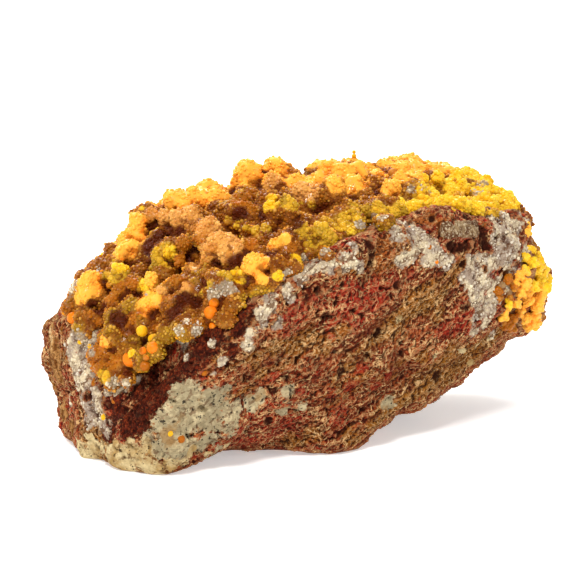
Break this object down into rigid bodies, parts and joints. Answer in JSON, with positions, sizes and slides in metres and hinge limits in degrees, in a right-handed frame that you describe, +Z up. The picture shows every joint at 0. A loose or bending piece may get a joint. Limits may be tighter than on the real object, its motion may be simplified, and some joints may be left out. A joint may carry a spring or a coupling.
{
  "type": "mimetite specimen on matrix",
  "caption": "Natural mineral specimen: orange and yellow botryoidal mimetite crust over a broken, rusty red quartz and limonite rock, resting on its flat underside.",
  "frame": {"origin": "middle of the whole specimen's box, on the surface that it rests on", "axes": "+X along the rock towards its raised end, -Y the broken front face, +Z up as it rests"},
  "size_m": [0.087, 0.0494, 0.0445],
  "materials": {
    "matrix_rock": "rough broken quartz and limonite, rust red and brown in front with grey-white drusy quartz along its edges",
    "mimetite": "waxy to resinous botryoidal mimetite, orange and peach on the crest, golden brown and yellow below",
    "mimetite_yellow": "waxy yellow and orange mimetite beads"
  },
  "bodies": {
    "root": {"matrix": "matrix_rock", "mimetite_crust": "mimetite", "mimetite_end_cluster": "mimetite_yellow"}
  },
  "joints": []
}
